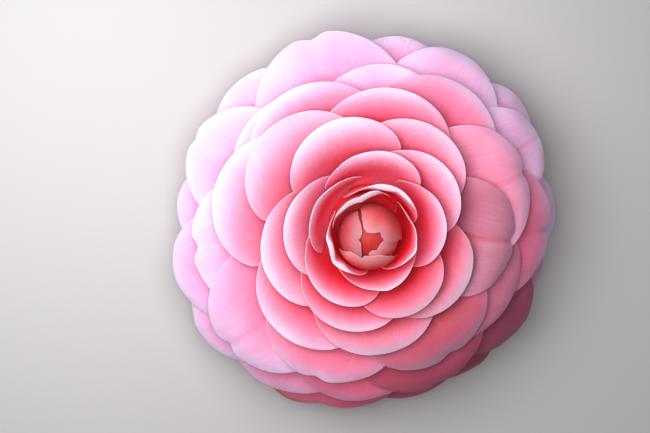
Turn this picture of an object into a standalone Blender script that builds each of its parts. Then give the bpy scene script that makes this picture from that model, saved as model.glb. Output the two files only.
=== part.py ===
"""Camellia flower head of the formal double kind, picked and laid face up on its calyx.

Every petal lies on a bowl of its own. The bowls are nested from the bud at the heart to the
outermost petal, and each next petal is turned by one divergence angle, so that the petals
overlap like tiles. Their roots are sunk in the receptacle, and all of it is fused to one body.
The calyx of overlapping sepals is the second body, a hair's breadth below the first.
The axis of the flower is +Z, and z = 0 is the flat scar at the foot of the calyx.
"""
import math

import bpy
import numpy as np

MM = 0.001

# The spiral: petals are counted outwards, and petal 0 is the first one outside the upright cup.
FIRST_PETAL = -10
LAST_PETAL = 51
DIVERGENCE = 139.0          # degrees between one petal and the next, clockwise from above
FIRST_AZIMUTH = 284.0       # azimuth of petal 0

# Petals that lean out of the rule by some degrees, as they do in a grown flower.
LEAN = {-3: -5, -2: 8, 1: 6, 2: 2, 3: 4, 5: -6, 6: 3, 7: 12, 9: -2, 10: -10, 12: 5, 13: -4,
        14: -2, 16: 7, 19: -2, 21: 2, 22: 14, 23: 4, 24: 3, 25: 9, 26: -4, 27: 3, 28: 3,
        29: 7, 30: 9, 31: -1, 32: -4, 33: 10, 34: 4, 35: 7, 37: 8, 40: 8, 41: 3, 43: -5, 46: -4,
        47: 11, 48: -12, 50: -6, 51: 6}
# Petals that are longer (+) or shorter (-) than the rule, in millimetres.
REACH = {-3: 0.6, -2: -0.8, -1: -1.2, 0: -0.6, 5: 0.8, 6: -1.5, 8: -1.2, 9: 2.2, 10: -1.2,
         11: -2.4, 12: -0.9, 13: -1.4, 14: 2.4, 15: 1.2, 16: -1.7, 17: -1.0, 18: 0.3, 19: 0.8,
         20: 1.7, 21: -1.0, 22: -1.0, 24: 0.6, 25: -1.6, 27: -4.0, 28: 2.4, 29: 3.4, 30: -4.4,
         31: 1.4, 32: 1.2, 33: 0.8, 34: 0.6, 35: 2.4, 36: -0.6, 37: 1.0, 38: -0.6, 39: -0.4,
         40: -0.8, 41: -0.6, 42: 1.2, 45: -1.6, 46: 1.0, 47: 0.2, 48: -1.2, 49: -1.0, 50: -0.6,
         51: -0.4}
# Petals that lie on another petal's bowl, where the overlap goes against the rule.
LEVEL = {24: 28.2, 26: 29.6, 27: 26, 29: 24.2, 31: 26.2, 38: 44.5, 43: 38, 46: 47.6}

# Middle lines of some bowls in (radius, height), millimetres: root, two handles, tip.
BOWLS = {
    -10: ((1.2, 18.0), (4.8, 18.2), (5.0, 27.6), (1.5, 28.6)),
    -7: ((2.4, 17.6), (7.8, 18.0), (7.6, 29.8), (2.5, 30.6)),
    -6: ((2.9, 17.2), (9.0, 17.4), (8.4, 30.5), (2.7, 31.5)),
    -5: ((3.3, 17.0), (9.4, 17.2), (8.9, 27.2), (6.3, 30.4)),
    -4: ((3.8, 16.8), (9.9, 16.7), (9.2, 25.0), (10.4, 30.1)),
    -1: ((5.2, 16.2), (11.0, 15.9), (11.2, 24.2), (13.4, 29.9)),
    0: ((5.6, 15.9), (11.6, 15.5), (12.0, 24.0), (14.8, 29.5)),
    5: ((7.0, 14.5), (13.9, 13.9), (16.0, 25.6), (21.0, 28.7)),
    10: ((8.0, 13.2), (16.0, 12.6), (21.0, 26.2), (27.4, 27.3)),
    15: ((8.8, 12.0), (17.8, 11.8), (25.4, 26.0), (33.2, 25.5)),
    20: ((9.4, 10.9), (19.2, 11.4), (29.2, 25.2), (38.0, 23.6)),
    26: ((10.0, 9.7), (20.0, 11.0), (32.0, 23.4), (41.8, 20.8)),
    38: ((10.6, 7.8), (20.8, 9.2), (34.8, 19.2), (45.4, 16.3)),
    51: ((11.0, 5.8), (21.4, 6.8), (36.0, 13.6), (45.8, 11.0)),
}
# Half width of a petal at its broadest, and at its claw, by petal number, millimetres.
HALF_WIDTH = ((-10, 4.0), (-7, 7.6), (-6, 8.6), (-5, 8.0), (-4, 8.6), (-3, 9.6), (0, 11.5), (5, 14.3),
              (10, 16.3), (20, 18.7), (35, 19.0), (51, 17.6))
CLAW_HALF_WIDTH = ((-10, 0.9), (-4, 1.5), (5, 2.2), (51, 2.8))
ROUND_END = 0.86            # length of a petal's rounded end, in half widths
FLARE = 1.6                 # how late a petal widens from its claw
BLADE = 0.60                # thickness of a blade
TWIST = 0.03                # how far its left edge lies up, and its right edge down
NOTCH = {15: 1.1, 18: 0.9, 20: 1.0, 24: 1.4, 28: 1.5, 29: 1.5, 31: 0.9, 32: 0.8, 35: 0.8, 45: 0.9}

ACROSS = 6                  # faces across a blade
LOWER_FACES = ((-5, 3), (-4, 2))     # faces along its lower part
UPWARDS = 2                 # faces along its rounded end

# The receptacle, turned, in (radius, height): the petals' bases grow together with it.
RECEPTACLE = ((0.0, 4.6), (9.4, 4.6), (13.4, 6.4), (12.8, 10.4), (8.6, 17.0), (0.0, 20.0))
RECEPTACLE_SIDES = 12

# The calyx: sepals on bowls of their own below the petals, and the cup with the scar it rests on.
SEPALS = 7
SEPAL_HALF_WIDTH = 6.6
SEPAL_CLAW = 3.4
SEPAL_BLADE = 0.8
SEPAL_BOWL = ((4.6, 1.6), (9.0, 1.0), (13.4, 3.4), (18.4, 5.0))
SEPAL_STEP = 0.12           # each sepal's bowl lies this much lower than the one before
CALYX_CUP = ((0.0, 0.0), (5.4, 0.0), (6.2, 0.4), (7.4, 1.4), (8.8, 2.8), (8.8, 3.7), (8.0, 4.1),
             (0.0, 4.2))
CALYX_SIDES = 20

PETAL_PINK = (0.86, 0.42, 0.50, 1.0)
SEPAL_GREEN = (0.24, 0.26, 0.09, 1.0)


def clear_scene():
    for thing in list(bpy.data.objects):
        bpy.data.objects.remove(thing, do_unlink=True)


def material(name, colour, roughness):
    made = bpy.data.materials.new(name)
    made.use_nodes = True
    shader = made.node_tree.nodes["Principled BSDF"]
    shader.inputs["Base Color"].default_value = colour
    shader.inputs["Roughness"].default_value = roughness
    shader.inputs["Metallic"].default_value = 0.0
    return made


def between(table, number):
    """Value of a (number, value) table, straight between its entries."""
    return float(np.interp(number, [row[0] for row in table], [row[1] for row in table]))


def bowl_of(number):
    """The four points of a petal's bowl, worked out between the given bowls."""
    keys = sorted(BOWLS)
    points = np.array([BOWLS[key] for key in keys])
    flat = points.reshape(len(keys), 8)
    row = [np.interp(number, keys, flat[:, column]) for column in range(8)]
    return np.array(row).reshape(4, 2)


class Bowl:
    """Middle line of a bowl, a cubic curve read by its length from the root."""

    def __init__(self, points):
        self.points = np.array(points, dtype=float)
        steps = np.linspace(0.0, 1.0, 160)[:, None]
        a, b, c, d = self.points
        rest = 1.0 - steps
        line = a * rest**3 + 3.0 * b * rest**2 * steps + 3.0 * c * rest * steps**2 + d * steps**3
        runs = np.linalg.norm(np.diff(line, axis=0), axis=1)
        self.line = line
        self.runs = np.concatenate([[0.0], np.cumsum(runs)])
        self.length = float(self.runs[-1])
        self.spread = max(0.06, float(line[-1, 0] - line[0, 0]) / self.length)

    def at(self, length):
        """Radius and height at a length, carried on straight past the tip."""
        inside = np.clip(length, 0.0, self.length)
        over = length - inside
        tangent = self.line[-1] - self.line[-2]
        tangent = tangent / np.linalg.norm(tangent)
        radius = np.interp(inside, self.runs, self.line[:, 0]) + over * tangent[0]
        height = np.interp(inside, self.runs, self.line[:, 1]) + over * tangent[1]
        return radius, height

    def place(self, across, along, azimuth):
        """Points of a flat blade rolled onto the bowl, as if the bowl were a cone."""
        radius, _ = self.at(along)
        slant = radius / self.spread
        turn = np.arctan2(across, slant) / self.spread
        radius, height = self.at(along + np.hypot(slant, across) - slant)
        angle = math.radians(azimuth) + turn
        return np.stack([radius * np.cos(angle), radius * np.sin(angle), height], axis=-1)


def blade_outline(length, half_width, claw, notch, lower):
    """Flat blade as a grid: a lower part that widens from the claw, then a rounded end."""
    u = np.linspace(-1.0, 1.0, ACROSS + 1)
    end = min(ROUND_END * half_width, 0.62 * length)
    shoulder = length - end
    rows = []
    for step in range(lower):
        share = step / lower
        width = claw + (half_width - claw) * math.sin(0.5 * math.pi * share) ** FLARE
        rows.append((u * width, np.full_like(u, shoulder * share)))
    for step in range(UPWARDS + 1):
        v = step / UPWARDS
        across = u * math.sqrt(1.0 - 0.5 * v * v) * half_width
        along = shoulder + v * np.sqrt(1.0 - 0.5 * u * u) * end
        along = along - notch * v * np.exp(-((u / 0.2) ** 2))
        rows.append((across, along))
    return np.array([row[0] for row in rows]), np.array([row[1] for row in rows])


def grid_normals(points):
    """Unit normals of a grid of points, towards the back of the blade."""
    down = np.gradient(points, axis=0)
    side = np.gradient(points, axis=1)
    normal = np.cross(side, down)
    return normal / np.linalg.norm(normal, axis=2, keepdims=True)


def blade_mesh(name, points, thickness, twist=0.0):
    """Closed blade: the grid moved out to both faces, split alike, and its rim between them."""
    rows, columns = points.shape[:2]
    outward = grid_normals(points)
    points = points - outward * (twist * np.linspace(-1.0, 1.0, columns)[None, :, None])
    back = points + outward * (0.5 * thickness)
    front = points - outward * (0.5 * thickness)
    vertices = np.concatenate([back.reshape(-1, 3), front.reshape(-1, 3)]) * MM
    count = rows * columns
    faces = []
    for row in range(rows - 1):
        for column in range(columns - 1):
            a = row * columns + column
            b, c, d = a + 1, a + columns + 1, a + columns
            if column < columns // 2:
                corners = ((a, b, c), (a, c, d))
            else:
                corners = ((a, b, d), (b, c, d))
            for p, q, r in corners:
                faces.append((p, q, r))
                faces.append((p + count, r + count, q + count))
    rim = [column for column in range(columns)]
    rim += [row * columns + columns - 1 for row in range(1, rows)]
    rim += [count - 1 - column for column in range(1, columns)]
    rim += [row * columns for row in range(rows - 2, 0, -1)]
    for p, q in zip(rim, rim[1:] + rim[:1]):
        faces.append((p, p + count, q + count))
        faces.append((p, q + count, q))
    return solid(name, vertices, faces)


def turned_mesh(name, profile, sides):
    """Closed solid turned from a profile that starts and ends on the axis."""
    inner = profile[1:-1]
    vertices = [(0.0, 0.0, profile[0][1]), (0.0, 0.0, profile[-1][1])]
    for radius, height in inner:
        for side in range(sides):
            angle = 2.0 * math.pi * side / sides
            vertices.append((radius * math.cos(angle), radius * math.sin(angle), height))
    faces = []
    for side in range(sides):
        after = (side + 1) % sides
        faces.append((0, 2 + after, 2 + side))
        last = 2 + (len(inner) - 1) * sides
        faces.append((1, last + side, last + after))
        for ring in range(len(inner) - 1):
            low = 2 + ring * sides
            faces.append((low + side, low + after, low + sides + after, low + sides + side))
    return solid(name, np.array(vertices) * MM, faces)


def solid(name, vertices, faces):
    mesh = bpy.data.meshes.new(name)
    mesh.from_pydata([tuple(vertex) for vertex in vertices.tolist()], [], faces)
    mesh.validate()
    made = bpy.data.objects.new(name, mesh)
    bpy.context.scene.collection.objects.link(made)
    return made


def petal(number):
    bowl = Bowl(bowl_of(LEVEL.get(number, number)))
    length = bowl.length + REACH.get(number, 0.0)
    across, along = blade_outline(length, between(HALF_WIDTH, number),
                                  between(CLAW_HALF_WIDTH, number), NOTCH.get(number, 0.0),
                                  round(between(LOWER_FACES, number)))
    azimuth = FIRST_AZIMUTH - DIVERGENCE * number + LEAN.get(number, 0)
    return blade_mesh("petal", bowl.place(across, along, azimuth), BLADE, TWIST)


def sepal(number):
    bowl = Bowl(np.array(SEPAL_BOWL) + (0.0, SEPAL_STEP * (SEPALS - 1 - number)))
    across, along = blade_outline(bowl.length, SEPAL_HALF_WIDTH, SEPAL_CLAW, 0.0, 2)
    azimuth = FIRST_AZIMUTH - DIVERGENCE * (LAST_PETAL + 1 + number)
    return blade_mesh("sepal", bowl.place(across, along, azimuth), SEPAL_BLADE)


def fuse(name, base, pieces, finish):
    """One Boolean union of a base with a collection of pieces, which are then removed."""
    group = bpy.data.collections.new(name + "_pieces")
    bpy.context.scene.collection.children.link(group)
    for piece in pieces:
        bpy.context.scene.collection.objects.unlink(piece)
        group.objects.link(piece)
    union = base.modifiers.new("union", "BOOLEAN")
    union.operation = "UNION"
    union.operand_type = "COLLECTION"
    union.collection = group
    union.solver = "MANIFOLD"
    bpy.context.view_layer.update()
    evaluated = base.evaluated_get(bpy.context.evaluated_depsgraph_get())
    mesh = bpy.data.meshes.new_from_object(evaluated)
    base.modifiers.clear()
    base.data = mesh
    for piece in pieces:
        bpy.data.objects.remove(piece, do_unlink=True)
    bpy.data.collections.remove(group)
    base.name = name
    mesh.name = name
    mesh.materials.clear()
    mesh.materials.append(finish)
    mesh.shade_smooth()
    mesh.set_sharp_from_angle(angle=math.radians(50.0))
    return base


def corolla():
    petals = [petal(number) for number in range(FIRST_PETAL, LAST_PETAL + 1)]
    base = turned_mesh("corolla", RECEPTACLE, RECEPTACLE_SIDES)
    return fuse("corolla", base, petals, material("petal_pink", PETAL_PINK, 0.55))


def calyx():
    sepals = [sepal(number) for number in range(SEPALS)]
    base = turned_mesh("calyx", CALYX_CUP, CALYX_SIDES)
    return fuse("calyx", base, sepals, material("sepal_green", SEPAL_GREEN, 0.6))


clear_scene()
corolla()
calyx()
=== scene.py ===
import math

import bpy
import numpy as np
from mathutils import Matrix, Vector


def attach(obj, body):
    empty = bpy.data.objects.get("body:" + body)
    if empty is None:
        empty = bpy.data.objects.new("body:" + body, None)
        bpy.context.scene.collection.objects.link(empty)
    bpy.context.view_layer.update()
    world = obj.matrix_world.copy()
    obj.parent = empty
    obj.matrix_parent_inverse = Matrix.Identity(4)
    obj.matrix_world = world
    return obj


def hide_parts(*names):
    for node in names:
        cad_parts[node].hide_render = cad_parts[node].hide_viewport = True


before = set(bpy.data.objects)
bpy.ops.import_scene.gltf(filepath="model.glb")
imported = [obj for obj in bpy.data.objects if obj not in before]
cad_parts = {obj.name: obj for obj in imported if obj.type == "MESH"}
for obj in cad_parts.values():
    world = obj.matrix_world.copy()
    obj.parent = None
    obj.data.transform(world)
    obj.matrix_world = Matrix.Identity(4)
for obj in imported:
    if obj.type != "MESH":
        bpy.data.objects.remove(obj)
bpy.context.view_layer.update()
mm = 0.001

# Petals are counted outwards: -10 to -5 make the ball at the heart, -4 to 0 stand up round it, and
# the rest open out. Lengths are in mm and angles in degrees.
spiral = {
    "first": -10, "last": 51,
    "turn": 139.0,           # degrees from one petal to the next, clockwise from above
    "start": 284.0,          # azimuth of petal 0
    # by petal number: degrees off the rule, mm beyond the bowl's tip, share of the half width, and
    # the number of another petal whose bowl it lies on
    "lean": {1: 6, 2: 2, 3: 4, 5: -8, 6: 3, 7: 9, 9: -2, 10: -10, 12: 3, 13: -4, 14: -2, 15: -5,
             16: 8, 19: -2, 20: -6, 21: 5, 22: 16, 23: 3, 24: -3, 25: 6, 26: -4, 27: 3, 28: 4,
             29: 7, 30: 9, 31: -1, 32: -4, 33: 8.2, 35: 7, 36: 4.5, 37: 13, 38: -7, 39: 1.5,
             40: 8, 41: -6, 42: 10, 43: -9, 45: 4, 46: -11, 47: 20, 48: -16, 49: -7, 50: -1,
             51: -3},
    "reach": {5: 0.4, 6: -1.5, 7: -0.9, 8: -1.2, 9: 2.2, 10: -1.4, 11: -2.4, 12: -1.5,
              13: -1.4, 14: 2.4, 15: 1.2, 16: -2.4, 17: -1.5, 18: 1.1, 19: 0.8, 20: 1.3,
              21: -0.6, 22: -1.4, 23: -1.0, 24: -1.2, 25: -1.7, 27: -4.0, 28: 2.4, 29: 3.4,
              30: -5.0, 31: 1.8, 32: 2.3, 33: 2.3, 34: 1.2, 35: 2.2, 36: 2.8, 37: 1.3,
              38: 1.4, 39: 0.9, 40: -0.5, 41: 0.7, 42: 1.6, 43: 0.4, 44: 1.0, 45: -1.2,
              46: 1.9, 47: 2.2, 48: -1.8, 49: 2.7, 50: -2.2, 51: 0.7},
    "breadth": {5: 0.92, 10: 0.9, 15: 0.93, 32: 0.84, 33: 0.76, 35: 1.1, 36: 0.82, 37: 0.85,
                38: 0.7, 39: 0.84, 41: 0.86, 42: 0.88, 43: 0.95, 45: 0.9, 46: 0.8, 47: 0.86,
                49: 0.84, 50: 0.84, 51: 0.82},
    "level": {24: 28.2, 26: 29.6, 27: 26, 29: 24.2, 31: 26.2, 38: 44.5, 43: 38, 46: 47.6},
}
# middle line of some petals' bowls, (radius, height): root, two handles, tip
bowls = {
    -4: ((3.8, 16.8), (9.9, 16.7), (9.2, 25.0), (10.4, 30.1)),
    -1: ((5.2, 16.2), (11.0, 15.9), (11.2, 24.2), (13.4, 29.9)),
    0: ((5.6, 15.9), (11.6, 15.5), (11.8, 24.2), (14.2, 29.5)),
    5: ((7.0, 14.5), (13.9, 13.9), (15.0, 27.6), (21.0, 28.4)),
    10: ((8.0, 13.2), (16.0, 12.6), (19.4, 28.2), (27.4, 26.6)),
    15: ((8.8, 12.0), (17.8, 11.8), (23.8, 28.0), (33.2, 24.6)),
    20: ((9.4, 10.9), (19.2, 11.4), (27.8, 27.0), (38.0, 22.4)),
    26: ((10.0, 9.7), (20.0, 11.0), (30.8, 25.2), (41.8, 19.4)),
    38: ((10.6, 7.8), (20.8, 9.2), (33.8, 21.2), (45.4, 14.6)),
    51: ((11.0, 5.8), (21.4, 6.8), (35.6, 15.2), (45.8, 9.6)),
}
# tables go straight between the petals in "number": half width at the broadest and at the claw, and
# what the blade does by itself
blade = {
    "number": (-4, -3, 0, 5, 10, 20, 35, 51),
    "half": (8.6, 9.6, 11.3, 12.6, 14.4, 16.8, 16.6, 15.2),
    "claw": (1.5, 1.6, 1.9, 2.2, 2.3, 2.4, 2.6, 2.8),
    "cup": (0.1, 0.1, 0.1, 0.0, 0.0, -0.1, -0.2, -0.3),
    "curl": (0.1, 0.1, 0.1, 0.12, 0.15, 0.2, 0.3, 0.4),
    "bend": (0.0, 0.0, 0.4, 0.4, 0.35, 0.25, 0.25, 0.25),
    "bendRun": 8.0, "bendMost": 1.2, "curlRun": 1.5, "waveRun": 3.2, "leanRun": 5.0,
    # how often the margin waves round the blade, and how far; the middle it goes round lies a
    # little below the shoulder
    "ripples": ((3.0, 0.5), (6.0, 0.35), (11.0, 0.25)), "ripplesBelow": 0.35,
    "wave": (0.1, 0.1, 0.18, 0.24, 0.28, 0.34, 0.4, 0.44),
    "end": (0.86, 0.86, 0.86, 0.86, 0.86, 0.9, 1.05, 1.15),
    "endMost": 0.62, "freeFrom": 0.45,   # shares of the length
    "flare": 1.6, "twist": 0.03, "leastSpread": 0.06, "leastOutward": 0.5, "tipFollow": 0.7,
    "thick": 0.44, "thin": 0.17, "taper": 3.0,
    "lipSlope": 1.6, "lipSoft": 0.12, "lipShade": 0.7,
    # how deep the middle of the tip is notched
    "notch": {15: 1.1, 18: 0.9, 20: 1.0, 21: 1.1, 24: 1.7, 28: 1.5, 29: 1.5, 31: 0.9, 32: 0.8,
              35: 1.3, 45: 0.9},
    "notchWidth": 0.17,
    "crease": 0.45, "creaseWidth": 1.3, "creaseLeast": 0.15, "creaseFrom": 0.5,
    "columns": 36, "lowerRows": 9, "upperRows": 15, "bowlSteps": 240, "seed": 11,
    "mapLength": 40.0,   # mm of a blade to one unit of its UV map
    # colour deepens by fade in each mm, or by ownFade for single petals, with the distance from any
    # rim and from the tip in these shares; how deep it is at the rim itself is listed by petal
    # below
    "sideShare": 0.6, "tipShare": 0.4,
    "fade": (1.0, 0.9, 0.5, 0.42, 0.3, 0.2, 0.09, 0.06),
    "ownFade": {-10: 0.27, -9: 0.05, -8: 0.27, -7: 0.27, -6: 0.27, -5: 0.27, 1: 0.25, 2: 0.32,
                3: 0.37, 4: 0.21, 6: 0.09, 7: 0.2, 8: 0.36, 9: 0.15, 11: 0.13, 12: 0.17,
                13: 0.28, 14: 0.08, 15: 0.03, 16: 0.2, 17: 0.24, 18: 0.3, 19: 0.1, 20: 0.04,
                22: 0.15, 23: 0.06, 24: 0.06, 25: 0.16, 29: 0.07, 30: 0.05, 32: 0.05, 33: 0.04,
                35: 0.05, 38: 0.04, 43: 0.04, 45: 0.04, 51: 0.04},
    # depth at the rim: partly own colour, partly painted shade on petals away from the key light
    "flushAndShade": {-10: 2.2, -9: 1.9, 12: 0.1, 14: 0.25, 15: 0.55, 20: 0.4, 21: 0.1, 23: 0.65, 25: 0.1,
              26: 0.65, 28: 0.2, 31: 1.1, 34: 0.25, 36: 1.0, 39: 1.2, 41: 0.3, 44: 1.4,
              47: 1.1, 49: 1.5},
    # how far a petal's colour goes towards a dark painted shade, most on petals away from the key
    "dusk": {-7: 0.34, -6: 0.18, 0: 0.12, 2: 0.12, 3: 0.08, 5: 0.31, 7: 0.08, 8: 0.14, 10: 0.3,
             13: 0.22, 15: 0.48, 18: 0.44, 20: 0.06, 21: 0.06, 23: 0.4, 26: 0.14, 28: 0.15,
             31: 0.52, 36: 0.64, 39: 0.26, 41: 0.27, 44: 0.52, 49: 0.66},
    # how deep the midline is creased, and coloured along the crease
    "creased": {15: 1.0, 20: 0.4, 28: 0.6, 29: 0.3, 33: 0.4},
    "creaseShade": 0.5, "creaseLine": 0.35,
    # rims browned by weather: how much, and to which side (-1 to 1)
    "browned": {47: (1.0, -0.3), 33: (0.5, -0.8)},
    "brownDepth": 1.1, "brownWidth": 0.55,
    # the outer petals turn mauve, less where their rims are deep; the heart is coral
    "mauve": ((12, 32), (0.0, 1.0)), "mauveLess": 0.6, "heart": ((-5, -4, 1), (1.0, 0.25, 0.0)),
}
# the heart is a ball of petals that lie on spheres: radius, azimuth they come from, and the rim
# from side to side as (mm across, polar degrees): 0 is the top, and below 0 is past it
ball = {
    "middle": (-0.4, -0.9, 24.3), "root": 148.0, "claw": 0.2, "opens": 1.6, "opensPower": 0.8,
    "columns": 56, "rows": 26,
    -10: {"radius": 5.2, "azimuth": 224.0, "rim": ((-4.2, 50), (-3.0, -10), (3.0, -10), (4.2, 50))},
    -9: {"radius": 6.2, "azimuth": 93.0,
         "rim": ((-6.0, 50), (-5.4, 0), (-3.0, -42), (3.0, -42), (5.4, 0), (6.0, 50))},
    -8: {"radius": 6.65, "azimuth": 322.0, "rim": ((-4.6, 46), (-3.3, 9), (-2.5, 8), (-1.8, 10.5),
                                                  (-1.4, 15.7), (-0.5, 14), (0.5, 13), (1.4, 15),
                                                  (2.2, 20), (3.6, 40))},
    -7: {"radius": 7.1, "azimuth": 186.0, "rim": ((-8.2, 52), (-6.4, 36), (-4.4, 25), (-2.7, 22),
                                                  (-1.5, 24.5), (-0.8, 30), (-0.1, 25.5),
                                                  (1.7, 27), (3.4, 29), (5.5, 50), (7.0, 80))},
    -6: {"radius": 7.35, "azimuth": 57.0, "rim": ((-8.3, 66), (-5.6, 32), (-4.1, 19), (-2.5, 12.4),
                                                 (-1.7, 12.2), (-0.5, 15.5), (0.3, 22), (0.6, 18),
                                                 (1.2, 14), (2.0, 10.5), (2.9, 8.2), (3.9, 12),
                                                 (4.5, 19), (5.4, 32), (6.4, 60))},
    -5: {"radius": 7.8, "azimuth": 268.0, "rim": ((-9.1, 64), (-7.5, 42), (-5.9, 27), (-4.2, 28),
                                                  (-2.8, 33), (-2.2, 26), (1.5, 22), (5.0, 36),
                                                  (7.1, 66))},
}
# upright petals round the ball: tip of the bowl, half width, and along the margin from side to
# side (place, leaning in, width of the lip that folds out), all straight between
cup = {
    -4: {"azimuth": 118.0, "tip": (9.4, 30.4), "half": 8.8,
         "lip": ((-1.0, -1.0, 0.0), (-0.85, -0.9, 0.5), (-0.59, -0.2, 1.1), (-0.18, 0.6, 1.3),
                 (0.26, -0.3, 1.0), (0.6, -0.6, 0.7), (0.89, -1.2, 0.1), (1.0, -1.2, 0.0))},
    -3: {"azimuth": 344.0, "tip": (9.7, 29.7), "half": 9.7,
         "lip": ((-1.0, 0.2, 0.0), (-0.6, 0.0, 0.15), (-0.15, -0.5, 0.2), (0.1, 0.0, 0.1),
                 (0.6, 0.2, 0.0), (1.0, 0.9, 0.0))},
    -2: {"azimuth": 208.0, "tip": (10.1, 30.1), "half": 9.8,
         "lip": ((-1.0, -1.0, 0.0), (-0.69, -0.7, 0.5), (-0.4, 0.2, 0.9), (-0.14, 0.1, 0.9),
                 (0.07, -0.5, 0.6), (0.32, 0.3, 1.1), (0.56, 0.0, 0.5), (0.81, -0.1, 0.1),
                 (1.0, -0.2, 0.0))},
    -1: {"azimuth": 68.0, "tip": (11.1, 30.2), "half": 10.8,
         "lip": ((-1.0, -0.4, 0.0), (-0.83, -0.4, 0.1), (-0.63, 0.0, 0.5), (-0.36, 0.0, 0.7),
                 (-0.09, -0.2, 0.6), (0.05, 0.2, 1.1), (0.36, 0.1, 1.1), (0.65, -0.4, 0.3),
                 (0.94, -0.6, 0.0), (1.0, -0.6, 0.0))},
    0: {"azimuth": 284.0, "tip": (13.0, 29.2), "half": 11.2,
        "lip": ((-1.0, 0.0, 0.0), (-0.4, 0.0, 0.0), (0.0, -0.4, 0.1), (0.45, 0.1, 0.1),
                (1.0, 0.5, 0.0))},
}


# 3 t^2 - 2 t^3 between 0 and 1
def ease(t):
    t = np.clip(t, 0.0, 1.0)
    return t * t * (3.0 - 2.0 * t)


# the four points of a bowl, straight between the given ones
def bowlPoints(level):
    keys = sorted(bowls)
    flat = np.array([bowls[key] for key in keys]).reshape(len(keys), 8)
    return np.array([np.interp(level, keys, flat[:, k]) for k in range(8)]).reshape(4, 2)


# cubic curve a(1-s)^3 + 3b(1-s)^2 s + 3c(1-s)s^2 + d s^3, with its length at every step
def bowlLine(points):
    s = np.linspace(0.0, 1.0, blade["bowlSteps"])[:, None]
    a, b, c, d = np.array(points, dtype=float)
    line = a * (1 - s)**3 + 3 * b * (1 - s)**2 * s + 3 * c * (1 - s) * s**2 + d * s**3
    runs = np.concatenate([[0.0], np.cumsum(np.linalg.norm(np.diff(line, axis=0), axis=1))])
    return line, runs


# radius and height at a length along the line, carried on straight past its tip
def alongBowl(bowl, length):
    line, runs = bowl
    inside = np.clip(length, 0.0, runs[-1])
    past = length - inside
    end = (line[-1] - line[-2]) / np.linalg.norm(line[-1] - line[-2])
    radius = np.interp(inside, runs, line[:, 0]) + past * end[0]
    height = np.interp(inside, runs, line[:, 1]) + past * end[1]
    return radius, height


# a flat blade rolled onto the bowl as onto a cone: turn = atan(across / slant) / spread
def ontoBowl(bowl, across, along, azimuth):
    line, runs = bowl
    spread = max(blade["leastSpread"], (line[-1, 0] - line[0, 0]) / runs[-1])
    radius, _ = alongBowl(bowl, along)
    slant = radius / spread
    angle = math.radians(azimuth) + np.arctan2(across, slant) / spread
    radius, height = alongBowl(bowl, along + np.hypot(slant, across) - slant)
    return np.stack([radius * np.cos(angle), radius * np.sin(angle), height], axis=-1)


# flat outline on a grid: x = u w(y) below, then a half ellipse: x = u sqrt(1 - v^2 / 2),
# y = v sqrt(1 - u^2 / 2)
def flatBlade(half, claw, length, notch, roundEnd=0.86):
    u = np.sin(0.5 * math.pi * np.linspace(-1.0, 1.0, blade["columns"] + 1))
    end = min(roundEnd * half, blade["endMost"] * length)
    shoulder = length - end
    share = np.arange(blade["lowerRows"])[:, None] / blade["lowerRows"]
    width = claw + (half - claw) * np.sin(0.5 * math.pi * share)**blade["flare"]
    v = np.sin(0.5 * math.pi * np.linspace(0.0, 1.0, blade["upperRows"] + 1))[:, None]
    across = np.concatenate([width * u, u * np.sqrt(1 - v * v / 2) * half])
    cut = notch * v**3 * np.exp(-(u / blade["notchWidth"])**2)
    rise = shoulder + v * np.sqrt(1 - u * u / 2) * end - cut
    along = np.concatenate([shoulder * share + 0.0 * u, rise])
    return across, along, np.broadcast_to(u, across.shape), shoulder, end


# a flat blade laid on a sphere: its middle line runs over the top, x goes round sideways, as
# r (cos(x / r) (sin(polar) out + cos(polar) up) + sin(x / r) side)
def ontoBall(across, polar, radius, azimuth):
    a = math.radians(azimuth)
    out = np.array([math.cos(a), math.sin(a), 0.0])
    side = np.array([-math.sin(a), math.cos(a), 0.0])
    top = np.array([0.0, 0.0, 1.0])
    turn = across / radius
    line = np.sin(polar)[..., None] * out + np.cos(polar)[..., None] * top
    return radius * (np.cos(turn)[..., None] * line + np.sin(turn)[..., None] * side)


# distance in the flat from every grid point to the free margin (both sides and the tip)
def marginDistance(across, along):
    rim = np.concatenate([np.stack([across[:, 0], along[:, 0]], 1),
                          np.stack([across[-1], along[-1]], 1),
                          np.stack([across[:, -1], along[:, -1]], 1)])
    gap = np.hypot(across.reshape(-1, 1) - rim[:, 0], along.reshape(-1, 1) - rim[:, 1])
    return gap.min(axis=1).reshape(across.shape)


# unit normals of a grid towards the back of the blade: (across direction) x (along direction)
def backNormals(points):
    normal = np.cross(np.gradient(points, axis=1), np.gradient(points, axis=0))
    return normal / np.maximum(np.linalg.norm(normal, axis=2, keepdims=True), 1e-9)


# closed blade from its middle surface: both faces half a thickness away, and a strip round the rim
def closedBlade(middle, thickness):
    rows, columns = middle.shape[:2]
    back = backNormals(middle)
    points = np.concatenate([(middle + back * thickness[..., None] / 2).reshape(-1, 3),
                             (middle - back * thickness[..., None] / 2).reshape(-1, 3)])
    index = np.arange(rows * columns).reshape(rows, columns)
    a, b, c, d = index[:-1, :-1], index[:-1, 1:], index[1:, 1:], index[1:, :-1]
    behind = np.stack([a, b, c, d], -1).reshape(-1, 4)
    front = behind[:, ::-1] + rows * columns
    rim = np.concatenate([index[0], index[1:, -1], index[-1, -2::-1], index[-2:0:-1, 0]])
    after = np.roll(rim, -1)
    strip = np.stack([rim, rim + rows * columns, after + rows * columns, after], -1)
    return points, np.concatenate([behind, front, strip])


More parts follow.
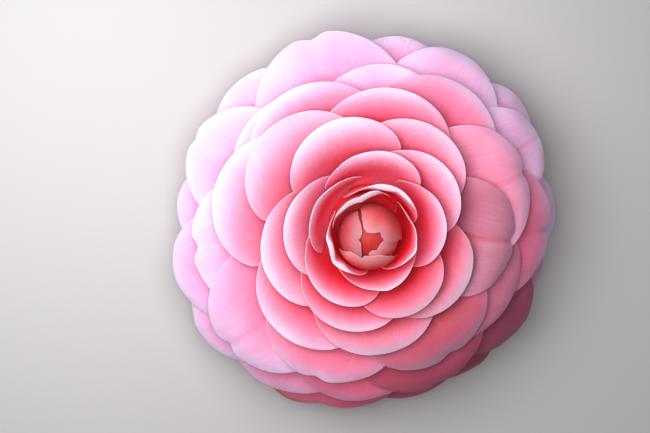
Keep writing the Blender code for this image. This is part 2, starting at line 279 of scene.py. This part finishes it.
# faces, values at every point and the blade's own map, from the middle surface of one petal:
# shade = flush + fade (margin's share + tip's share - lip) + crease e^(-(x / line)^2)
def finishedBlade(number, middle, across, along, u, length, rng, lip=0.0):
    margin = marginDistance(across, along)
    thickness = blade["thin"] + (blade["thick"] - blade["thin"]) * ease(margin / blade["taper"])
    points, faces = closedBlade(middle, thickness)
    # the rim's depth: partly the petal's own colour, partly painted shade
    flushAndShade = blade["flushAndShade"].get(number, 0.0)
    fade = blade["ownFade"].get(number, np.interp(number, blade["number"], blade["fade"]))
    fromTip = np.maximum(length - along, margin)
    depth = blade["sideShare"] * margin + blade["tipShare"] * fromTip - lip
    creased = blade["creaseShade"] * blade["creased"].get(number, 0.0)
    shade = flushAndShade + fade * np.maximum(depth, 0) \
        + creased * np.exp(-(across / blade["creaseLine"])**2)
    amount, side = blade["browned"].get(number, (0.0, 0.0))
    brown = amount * np.exp(-(margin / blade["brownDepth"])**2
                            - ((u - side) / blade["brownWidth"])**2)
    allOver = {
        "dusk": blade["dusk"].get(number, 0.0),
        "age": (number - spiral["first"]) / (spiral["last"] - spiral["first"]),
        "mauve": np.interp(number, *blade["mauve"]) * max(0.0, 1.0 - blade["mauveLess"] * flushAndShade),
        "heart": np.interp(number, *blade["heart"]),
        "pick": rng.uniform(),
    }
    values = {key: np.full(len(points), float(value)) for key, value in allOver.items()}
    for key, value in (("edge", margin), ("shade", shade), ("brown", brown)):
        values[key] = np.tile(value.ravel(), 2)
    values["front"] = np.repeat((0.0, 1.0), margin.size)
    return points, faces, values, bladeMap(u, along, blade["mapLength"])


# the UV places of both faces: u across, and the length along in units of a given size
def bladeMap(u, along, unit):
    return np.tile(np.stack([u.ravel(), along.ravel() / unit], 1), (2, 1))


# one petal of the ball: every column runs from the root, deep in, to its own place on the rim, and
# the width opens from the claw as sin(opens s) to a power
def ballPetal(number, rng):
    rule = ball[number]
    u = np.linspace(-1.0, 1.0, ball["columns"] + 1)
    place, polar = np.array(rule["rim"]).T
    middle, half = (place[-1] + place[0]) / 2, (place[-1] - place[0]) / 2
    rim = np.interp(middle + half * u, place, polar)
    share = np.sin(0.5 * math.pi * np.linspace(0.0, 1.0, ball["rows"]))[:, None]
    turn = np.minimum(ball["opens"] * share, math.pi / 2)
    opened = ball["claw"] + (1.0 - ball["claw"]) * np.sin(turn)**ball["opensPower"]
    angle = np.radians(ball["root"] + (rim - ball["root"]) * share)
    across = (middle + half * u) * opened
    along = rule["radius"] * (math.radians(ball["root"]) - angle)
    surface = ontoBall(across, angle, rule["radius"], rule["azimuth"]) + np.array(ball["middle"])
    return finishedBlade(number, surface, across, along, np.broadcast_to(u, across.shape),
                         along[-1].max(), rng)


# one petal: a flat blade on its bowl, moved forwards by cup (x / half)^2 + the margin's waves
# - curl e^(-margin / run) - bend (y from the tip)^2 + twist u - crease e^(-(x / width)^2), and for
# the upright ones by how far they lean in and by the lip that folds back
def petalParts(number, rng):
    if number in ball:
        return ballPetal(number, rng)
    own = cup.get(number, {})
    line = bowlPoints(spiral["level"].get(number, number))
    if own:
        line[2, 0] += blade["tipFollow"] * (own["tip"][0] - line[3, 0])
        line[3] = own["tip"]
    bowl = bowlLine(line)
    rule = {key: float(np.interp(number, blade["number"], blade[key]))
            for key in ("half", "claw", "end", "cup", "curl", "wave", "bend")}
    outward, upward = (bowl[0][-1] - bowl[0][-2]) / np.linalg.norm(bowl[0][-1] - bowl[0][-2])
    length = bowl[1][-1] + spiral["reach"].get(number, 0.0)
    length = length - rule["bend"] * upward / max(outward, blade["leastOutward"])
    half = own.get("half", rule["half"] * spiral["breadth"].get(number, 1.0))
    notch = blade["notch"].get(number, 0.0)
    across, along, u, shoulder, end = flatBlade(half, rule["claw"], length, notch, rule["end"])
    margin = marginDistance(across, along)
    azimuth = spiral["start"] - spiral["turn"] * number + spiral["lean"].get(number, 0)
    middle = ontoBowl(bowl, across, along, own.get("azimuth", azimuth))

    free = easeFrom(blade["freeFrom"], along, length)
    near = np.exp(-margin / blade["waveRun"]) * free
    around = np.arctan2(across / half, (along - shoulder) / end + blade["ripplesBelow"])
    phases = rng.uniform(0.0, 2.0 * math.pi, len(blade["ripples"]))
    ripple = sum(size * np.sin(count * around + phase)
                 for (count, size), phase in zip(blade["ripples"], phases))
    lift = rule["cup"] * (across / half)**2 * free + rule["wave"] * ripple * near
    lift = lift - rule["curl"] * np.exp(-margin / blade["curlRun"]) * free
    bent = np.clip((along - length) / blade["bendRun"] + 1.0, 0.0, blade["bendMost"])
    lift = lift - rule["bend"] * bent**2
    lift = lift + blade["twist"] * u
    groove = blade["crease"] * max(blade["creased"].get(number, 0.0), blade["creaseLeast"])
    groove = groove * np.exp(-(across / blade["creaseWidth"])**2)
    lift = lift - groove * easeFrom(blade["creaseFrom"], along, length)
    width = 0.0
    if own:
        place, leanIn, lip = np.array(own["lip"]).T
        lift = lift + np.interp(u, place, leanIn) * np.exp(-(margin / blade["leanRun"])**2) * free
        width = np.interp(u, place, lip)
        folded = softAbove(width / blade["lipSlope"] - margin, blade["lipSoft"])
        lift = lift - folded * blade["lipSlope"] * free
    middle = middle - backNormals(middle) * lift[..., None]
    return finishedBlade(number, middle, across, along, u, length, rng, blade["lipShade"] * width)


# 0 up to a share of the length, then easing to 1 at its end
def easeFrom(start, along, length):
    return ease((along - start * length) / ((1.0 - start) * length))


# 0 below zero and x above, rounded over a width w: (x + sqrt(x^2 + w^2) - w e^(-(x / w)^2 / 2)) / 2
def softAbove(x, width):
    return 0.5 * (x + np.sqrt(x * x + width * width)) - 0.5 * width * np.exp(-(x / width)**2 / 2)


# one mesh object in metres from points, four-cornered faces, point values and a UV place per point
def meshPiece(name, points, faces, values, uv):
    mesh = bpy.data.meshes.new(name)
    mesh.vertices.add(len(points))
    mesh.vertices.foreach_set("co", (points * mm).astype(np.float32).ravel())
    mesh.loops.add(faces.size)
    mesh.loops.foreach_set("vertex_index", faces.astype(np.int32).ravel())
    mesh.polygons.add(len(faces))
    mesh.polygons.foreach_set("loop_start", np.arange(0, faces.size, 4, dtype=np.int32))
    mesh.polygons.foreach_set("use_smooth", np.ones(len(faces), dtype=bool))
    mesh.update(calc_edges=True)
    for key, value in values.items():
        layer = mesh.attributes.new(key, "FLOAT", "POINT")
        layer.data.foreach_set("value", value.astype(np.float32))
    layer = mesh.uv_layers.new(name="blade")
    layer.uv.foreach_set("vector", uv[faces.ravel()].astype(np.float32).ravel())
    mesh.validate()
    piece = bpy.data.objects.new(name, mesh)
    bpy.context.scene.collection.objects.link(piece)
    return piece


# several blades put into one piece
def joinedPiece(name, parts):
    points, faces, values, uv, start = [], [], [], [], 0
    for part in parts:
        points.append(part[0])
        faces.append(part[1] + start)
        values.append(part[2])
        uv.append(part[3])
        start += len(part[0])
    merged = {key: np.concatenate([v[key] for v in values]) for key in values[0]}
    return meshPiece(name, np.concatenate(points), np.concatenate(faces), merged,
                     np.concatenate(uv))


# a node's output that can be reckoned with: every operator adds one Math node
class Wire:
    def __init__(self, graph, socket):
        self.graph = graph
        self.socket = socket

    def __add__(self, other):
        return self.graph.maths("ADD", self, other)

    __radd__ = __add__

    def __sub__(self, other):
        return self.graph.maths("SUBTRACT", self, other)

    def __rsub__(self, other):
        return self.graph.maths("SUBTRACT", other, self)

    def __mul__(self, other):
        return self.graph.maths("MULTIPLY", self, other)

    __rmul__ = __mul__

    def __truediv__(self, other):
        return self.graph.maths("DIVIDE", self, other)

    def __rtruediv__(self, other):
        return self.graph.maths("DIVIDE", other, self)


# one material's nodes, with its Principled shader
class Graph:
    def __init__(self, name):
        self.material = bpy.data.materials.new(name)
        self.material.use_nodes = True
        self.tree = self.material.node_tree
        self.shader = self.tree.nodes["Principled BSDF"]

    # any node: its settings first, then the values or wires of its sockets, by name or place
    def node(self, kind, settings=None, values=None, output=0):
        made = self.tree.nodes.new(kind)
        for key, value in (settings or {}).items():
            if key == "stops":
                ramp = made.color_ramp.elements
                while len(ramp) < len(value):
                    ramp.new(0.5)
                for element, (place, colour) in zip(ramp, value):
                    element.position = place
                    element.color = colour
            else:
                setattr(made, key, value)
        for key, value in (values or {}).items():
            if isinstance(value, Wire):
                self.tree.links.new(value.socket, made.inputs[key])
            else:
                made.inputs[key].default_value = value
        return Wire(self, made.outputs[output])

    def maths(self, operation, a, b):
        return self.node("ShaderNodeMath", {"operation": operation}, {0: a, 1: b})

    # a value that the mesh has at every point
    def value(self, name):
        return self.node("ShaderNodeAttribute", {"attribute_name": name}, output="Fac")

    # the three parts of a vector
    def split(self, wire):
        first = self.node("ShaderNodeSeparateXYZ", None, {0: wire})
        return [Wire(self, output) for output in first.socket.node.outputs]

    # 0 to 1 as a wire goes from low to high, eased
    def between(self, wire, low, high):
        return self.node("ShaderNodeMapRange", {"interpolation_type": "SMOOTHSTEP"},
                         {"Value": wire, "From Min": low, "From Max": high})

    def mix(self, factor, a, b):
        return self.node("ShaderNodeMix", {"data_type": "RGBA"}, {0: factor, 6: a, 7: b}, output=2)

    # a value or wire for one of the shader's own sockets
    def into(self, name, value):
        if isinstance(value, Wire):
            self.tree.links.new(value.socket, self.shader.inputs[name])
        else:
            self.shader.inputs[name].default_value = value


# a colour given by its three screen values from 0 to 255, as the shader's linear one
def tint(red, green, blue):
    share = np.array([red, green, blue]) / 255.0
    linear = np.where(share <= 0.04045, share / 12.92, ((share + 0.055) / 1.055)**2.4)
    return (*[float(n) for n in linear], 1.0)


petalLook = {
    # by shade / deepest from the rim inwards: inner petals, outer petals, and the coral heart
    "petal": ((0.0, tint(243, 206, 232)), (0.125, tint(244, 172, 200)), (0.25, tint(245, 144, 172)),
              (0.4, tint(245, 114, 142)), (0.62, tint(244, 82, 106)), (1.0, tint(242, 30, 44))),
    # outer petals, mauve; their red falling as the colour deepens is painted shade on deep-rimmed
    # petals
    "mauve": ((0.0, tint(242, 198, 236)), (0.1, tint(240, 172, 212)), (0.22, tint(226, 132, 170)),
              (0.4, tint(222, 108, 150)), (0.62, tint(220, 84, 124)), (1.0, tint(214, 50, 80))),
    "coral": ((0.0, tint(218, 146, 154)), (0.15, tint(218, 120, 126)), (0.35, tint(212, 72, 70)),
              (0.6, tint(170, 38, 32)), (1.0, tint(190, 18, 14))),
    "deepest": 3.2,
    # pale hem: partly the petal's pale margin, partly a painted highlight on the rim
    "hemAndHighlight": tint(255, 236, 246),
    "back": tint(250, 176, 202), "backShare": 0.3,
    "vein": tint(226, 86, 128), "veinShare": 0.12,
    # painted shade: the dark tone that petals are mixed towards
    "dusk": tint(60, 56, 72),
    "brown": tint(168, 112, 34),
    # how often streaks come across and along a blade, coarse and fine, and clouds in a metre
    "streaks": (17.0, 3.2), "fineStreaks": (46.0, 8.0), "clouds": 90.0,
    "streakStart": 40.0, "fineStart": (17.0, 5.0),   # so that no two petals have the same streaks
    # how much streaks and clouds change the depth, and where a streak is a vein
    "streakDepth": (0.84, 0.32), "cloudDepth": 0.4, "veinSharp": 5.0, "veinFrom": 0.35,
    # mm from the rim: where veins start and are full, and where the pale hem (partly a painted
    # highlight) is full and where it has gone
    "veinEdge": (0.4, 4.0), "hemAndHighlightEdge": (0.05, 0.3),
    "hemAndHighlightShare": 0.4, "hemAndHighlightAge": 0.3,   # at the heart, and how much less at the outermost petal
    "roughness": 0.5, "roughnessSwing": 0.2,
    "relief": (0.6, 0.4), "reliefDepth": 0.0005, "reliefStrength": 0.35,
    "specular": 0.25, "through": 0.8, "throughRadius": (1.0, 0.45, 0.5), "throughScale": 0.0014,
}


# the petals' skin: colour by depth from the rim (partly painted shade), veins, a pale hem that is
# partly a painted highlight, back, painted shade and browned rims, with light passing through
def petalMaterial():
    look = petalLook
    g = Graph("petalSkin")
    edge, shade, pick = g.value("edge"), g.value("shade"), g.value("pick")
    soft = 1.0 - g.value("heart")   # all but the heart
    across, upward, _ = g.split(g.node("ShaderNodeUVMap", {"uv_map": "blade"}))

    # veins fan out with the blade: noise drawn long on (u, length), another for each petal
    wide, long = look["streaks"]
    fan = g.node("ShaderNodeCombineXYZ", None,
                 {0: across * wide, 1: upward * long, 2: pick * look["streakStart"]})
    grain = g.node("ShaderNodeTexNoise", None, {"Vector": fan, "Scale": 1.0, "Detail": 3.0,
                                                "Roughness": 0.55, "Distortion": 0.35})
    wide, long = look["fineStreaks"]
    spread, start = look["fineStart"]
    fineFan = g.node("ShaderNodeCombineXYZ", None,
                     {0: across * wide, 1: upward * long, 2: pick * spread + start})
    fine = g.node("ShaderNodeTexNoise", None, {"Vector": fineFan, "Scale": 1.0, "Detail": 2.0})
    offMiddle = g.node("ShaderNodeMath", {"operation": "ABSOLUTE"}, {0: grain - 0.5})
    vein = g.between(1.0 - offMiddle * look["veinSharp"], look["veinFrom"], 1.0)

    # broad cloudiness over the whole flower
    place = g.node("ShaderNodeTexCoord", output="Object")
    cloud = g.node("ShaderNodeTexNoise", None,
                   {"Vector": place, "Scale": look["clouds"], "Detail": 2.0})

    least, swing = look["streakDepth"]
    deep = (shade * (least + grain * swing) + (cloud - 0.5) * look["cloudDepth"]) / look["deepest"]
    petal, mauve, coral = [g.node("ShaderNodeValToRGB", {"stops": look[key]}, {0: deep})
                           for key in ("petal", "mauve", "coral")]
    colour = g.mix(g.value("heart"), g.mix(g.value("mauve"), petal, mauve), coral)
    veined = vein * look["veinShare"] * g.between(edge, *look["veinEdge"])
    colour = g.mix(veined, colour, look["vein"])
    # a pale hem along the rim, partly the pale margin and partly a painted highlight; none in the
    # heart
    hemAndHighlight = 1.0 - g.between(edge, *look["hemAndHighlightEdge"])
    hemAndHighlight = hemAndHighlight * (look["hemAndHighlightShare"] - g.value("age") * look["hemAndHighlightAge"]) * soft
    colour = g.mix(hemAndHighlight, colour, look["hemAndHighlight"])
    behind = 1.0 - g.value("front")
    colour = g.mix(behind * look["backShare"] * soft, colour, look["back"])
    # painted shade, by each petal's own amount
    colour = g.mix(g.value("dusk"), colour, look["dusk"])
    colour = g.mix(g.value("brown"), colour, look["brown"])
    g.into("Base Color", colour)

    g.into("Roughness", look["roughness"] + (fine - 0.5) * look["roughnessSwing"])
    coarseShare, fineShare = look["relief"]
    g.into("Normal", g.node("ShaderNodeBump", None,
                            {"Strength": look["reliefStrength"], "Distance": look["reliefDepth"],
                             "Height": grain * coarseShare + fine * fineShare}))
    g.into("Specular IOR Level", look["specular"])
    g.into("Subsurface Weight", look["through"])
    g.into("Subsurface Radius", look["throughRadius"])
    g.into("Subsurface Scale", look["throughScale"])
    return g.material


# the pieces of the corolla, by petal number
groups = {
    "budPetals": range(-10, -4),
    "cupPetals": range(-4, 1),
    "innerPetals": range(1, 16),
    "middlePetals": range(16, 34),
    "outerPetals": range(34, 52),
}
skin = petalMaterial()
rng = np.random.default_rng(blade["seed"])
for name, numbers in groups.items():
    piece = joinedPiece(name, [petalParts(number, rng) for number in numbers])
    piece.data.materials.append(skin)
    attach(piece, "root")
    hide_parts("corolla")
    print(name, len(piece.data.polygons), "faces")


# receptacle and calyx: profiles are (radius, height) from axis to axis
green = {
    "receptacle": ((0.0, 4.7), (9.3, 4.7), (13.2, 6.5), (12.6, 10.3), (8.5, 16.8), (0.0, 19.8)),
    "cupShape": ((0.0, 0.0), (5.4, 0.0), (6.2, 0.4), (7.4, 1.4), (8.8, 2.8), (8.8, 3.7),
                 (8.0, 4.1), (0.0, 4.2)),
    "sides": {"receptacle": 48, "calyxCup": 64},
    "sepals": 7, "sepalHalf": 6.6, "sepalClaw": 3.4, "sepalStep": 0.12,
    "sepalThick": 0.8, "sepalThin": 0.25, "sepalTaper": 2.5, "sepalMap": 20.0,
    "sepalBowl": ((4.6, 1.6), (9.0, 1.0), (13.4, 3.4), (18.4, 5.0)),
    "dark": tint(92, 98, 40), "pale": tint(150, 152, 84), "brown": tint(120, 84, 44),
    "bloom": tint(196, 190, 150),
    # mottling and down in a metre, where the mottling is dark and pale, where the down shows, and
    # mm of the brown rim
    "mottling": 260.0, "mottled": (0.35, 0.68), "down": 2600.0, "downy": (0.5, 0.75),
    "downShare": 0.3, "rim": (0.0, 1.3), "rimRagged": 1.2, "rimShare": 0.8,
    "roughness": 0.55, "roughnessSwing": 0.3, "reliefDepth": 0.0002, "reliefStrength": 0.35,
    "sheen": 0.3, "sheenRoughness": 0.4,
    # the receptacle takes the petals' skin, all over as deep inside it
    "inside": {"shade": 3.2, "edge": 10.0, "heart": 0.5, "front": 1.0},
}


# a profile turned round the axis, (r cos a, r sin a, z); its points on the axis close both ends
def turnedPiece(name, profile, sides):
    line = np.array(profile)
    a = np.linspace(0.0, 2.0 * math.pi, sides, endpoint=False)
    ring = np.stack([np.cos(a), np.sin(a)], -1)
    inner = line[1:-1]
    points = np.concatenate([
        [[0.0, 0.0, line[0, 1]], [0.0, 0.0, line[-1, 1]]],
        np.concatenate([(inner[:, 0, None, None] * ring).reshape(-1, 2),
                        np.repeat(inner[:, 1], sides)[:, None]], 1)])
    index = 2 + np.arange(len(inner) * sides).reshape(len(inner), sides)
    after = np.roll(index, -1, axis=1)
    walls = np.stack([index[:-1], after[:-1], after[1:], index[1:]], -1).reshape(-1, 4)
    under = np.stack([np.zeros(sides, int), after[0], index[0]], -1)
    over = np.stack([np.ones(sides, int), index[-1], after[-1]], -1)
    mesh = bpy.data.meshes.new(name)
    mesh.from_pydata((points * mm).tolist(), [], walls.tolist() + under.tolist() + over.tolist())
    mesh.polygons.foreach_set("use_smooth", np.ones(len(mesh.polygons), dtype=bool))
    mesh.validate()
    piece = bpy.data.objects.new(name, mesh)
    bpy.context.scene.collection.objects.link(piece)
    return piece


# one sepal: a flat blade on a bowl that lies a step lower for each next sepal
def sepalParts(number, rng):
    bowl = bowlLine(np.array(green["sepalBowl"])
                    + (0.0, green["sepalStep"] * (green["sepals"] - 1 - number)))
    length = bowl[1][-1]
    across, along, u, _, _ = flatBlade(green["sepalHalf"], green["sepalClaw"], length, 0.0)
    azimuth = spiral["start"] - spiral["turn"] * (spiral["last"] + 1 + number)
    middle = ontoBowl(bowl, across, along, azimuth)
    margin = marginDistance(across, along)
    thickness = green["sepalThin"] \
        + (green["sepalThick"] - green["sepalThin"]) * ease(margin / green["sepalTaper"])
    points, faces = closedBlade(middle, thickness)
    values = {"edge": np.tile(margin.ravel(), 2), "pick": np.full(len(points), rng.uniform())}
    return points, faces, values, bladeMap(u, along, green["sepalMap"])


# the sepals' skin: mottled green, brown at the rim, with a silky down
def sepalMaterial():
    g = Graph("silkySepal")
    place = g.node("ShaderNodeTexCoord", output="Object")
    broad = g.node("ShaderNodeTexNoise", None,
                   {"Vector": place, "Scale": green["mottling"], "Detail": 3.0})
    down = g.node("ShaderNodeTexNoise", None,
                  {"Vector": place, "Scale": green["down"], "Detail": 2.0})
    colour = g.mix(g.between(broad, *green["mottled"]), green["dark"], green["pale"])
    ragged = g.value("edge") + (broad - 0.5) * green["rimRagged"]
    rim = 1.0 - g.between(ragged, *green["rim"])
    colour = g.mix(rim * green["rimShare"], colour, green["brown"])
    downy = g.between(down, *green["downy"])
    colour = g.mix(downy * green["downShare"], colour, green["bloom"])
    g.into("Base Color", colour)
    g.into("Roughness", green["roughness"] + (broad - 0.5) * green["roughnessSwing"])
    g.into("Normal", g.node("ShaderNodeBump", None,
                            {"Strength": green["reliefStrength"],
                             "Distance": green["reliefDepth"], "Height": down}))
    g.into("Sheen Weight", green["sheen"])
    g.into("Sheen Roughness", green["sheenRoughness"])
    return g.material


receptacle = turnedPiece("receptacle", green["receptacle"], green["sides"]["receptacle"])
receptacle.data.materials.append(skin)
for key, value in green["inside"].items():
    layer = receptacle.data.attributes.new(key, "FLOAT", "POINT")
    layer.data.foreach_set("value", np.full(len(receptacle.data.vertices), value, np.float32))
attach(receptacle, "root")
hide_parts("corolla")
sepalSkin = sepalMaterial()
sepals = joinedPiece("sepals", [sepalParts(number, rng) for number in range(green["sepals"])])
calyxCup = turnedPiece("calyxCup", green["cupShape"], green["sides"]["calyxCup"])
for piece in (sepals, calyxCup):
    piece.data.materials.append(sepalSkin)
    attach(piece, "root")
    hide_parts("calyx")
print("receptacle and calyx made")


view = {
    "tilt": 16.0, "towards": 123.0,   # how far the camera leans from the axis, and where to
    "distance": 600.0, "height": 18.0,   # from the point it leans about, and that point's height
    "width": 151.6,                   # what the frame spans at that distance
    "shift": (9.69387, 1.9476375),    # how far left and up of the axis it looks
    "sensor": 36.0,
    "nearest": 0.01,                  # in metres
}
studio = {
    # distance, size and half the floor's side are in metres
    "key": {"azimuth": 142.0, "height": 58.0, "distance": 0.158, "size": 0.15, "power": 0.345,
            "colour": (1.0, 0.97, 0.96)},
    "fill": {"azimuth": 123.0, "height": 74.0, "spread": 20.0, "power": 1.0,
             "colour": (1.0, 0.95, 0.97)},
    "sky": (1.0, 0.95, 0.95, 1.0), "skyStrength": 0.11,
    "floor": tint(186, 186, 188), "floorHalf": 3.0, "floorRoughness": 0.7,
}


# unit vector to an azimuth and a height above the floor: (cos h cos a, cos h sin a, sin h)
def direction(azimuth, height):
    a, h = math.radians(azimuth), math.radians(height)
    return Vector((math.cos(h) * math.cos(a), math.cos(h) * math.sin(a), math.sin(h)))


# lens = sensor * distance / width, so that the frame spans the width at the distance
def makeCamera():
    back = direction(view["towards"], 90.0 - view["tilt"])
    up = Vector((0.0, 1.0, 0.0))
    up = (up - back * up.dot(back)).normalized()
    right = up.cross(back)
    data = bpy.data.cameras.new("camera")
    data.sensor_width = view["sensor"]
    data.lens = view["sensor"] * view["distance"] / view["width"]
    data.clip_start = view["nearest"]
    camera = bpy.data.objects.new("camera", data)
    bpy.context.scene.collection.objects.link(camera)
    place = Vector((0.0, 0.0, view["height"])) + back * view["distance"]
    place = place - right * view["shift"][0] + up * view["shift"][1]
    turn = Matrix((right, up, back)).transposed().to_4x4()
    camera.matrix_world = Matrix.Translation(place * mm) @ turn
    bpy.context.scene.camera = camera


# a soft disk near the flower, and a wide faint light from the camera's side that evens it out
def makeLights():
    for name, kind in (("key", "AREA"), ("fill", "SUN")):
        rule = studio[name]
        data = bpy.data.lights.new(name, kind)
        data.energy = rule["power"]
        data.color = rule["colour"]
        lamp = bpy.data.objects.new(name, data)
        bpy.context.scene.collection.objects.link(lamp)
        away = direction(rule["azimuth"], rule["height"])
        lamp.rotation_euler = away.to_track_quat("Z", "Y").to_euler()
        if kind == "SUN":
            data.angle = math.radians(rule["spread"])
        else:
            data.shape = "DISK"
            data.size = rule["size"]
            lamp.location = away * rule["distance"]
            lamp.visible_camera = False
    world = bpy.data.worlds.new("studio")
    bpy.context.scene.world = world
    world.use_nodes = True
    background = world.node_tree.nodes["Background"]
    background.inputs["Color"].default_value = studio["sky"]
    background.inputs["Strength"].default_value = studio["skyStrength"]


# a square of plain pale floor at height 0
def makeFloor():
    half = studio["floorHalf"]
    mesh = bpy.data.meshes.new("floor")
    mesh.from_pydata([(-half, -half, 0), (half, -half, 0), (half, half, 0), (-half, half, 0)], [],
                     [(0, 1, 2, 3)])
    floor = bpy.data.objects.new("floor", mesh)
    bpy.context.scene.collection.objects.link(floor)
    g = Graph("floorPaint")
    g.into("Base Color", studio["floor"])
    g.into("Roughness", studio["floorRoughness"])
    mesh.materials.append(g.material)


makeCamera()
makeLights()
makeFloor()
bpy.context.scene.view_settings.view_transform = "Standard"
print("camera, light and floor set")
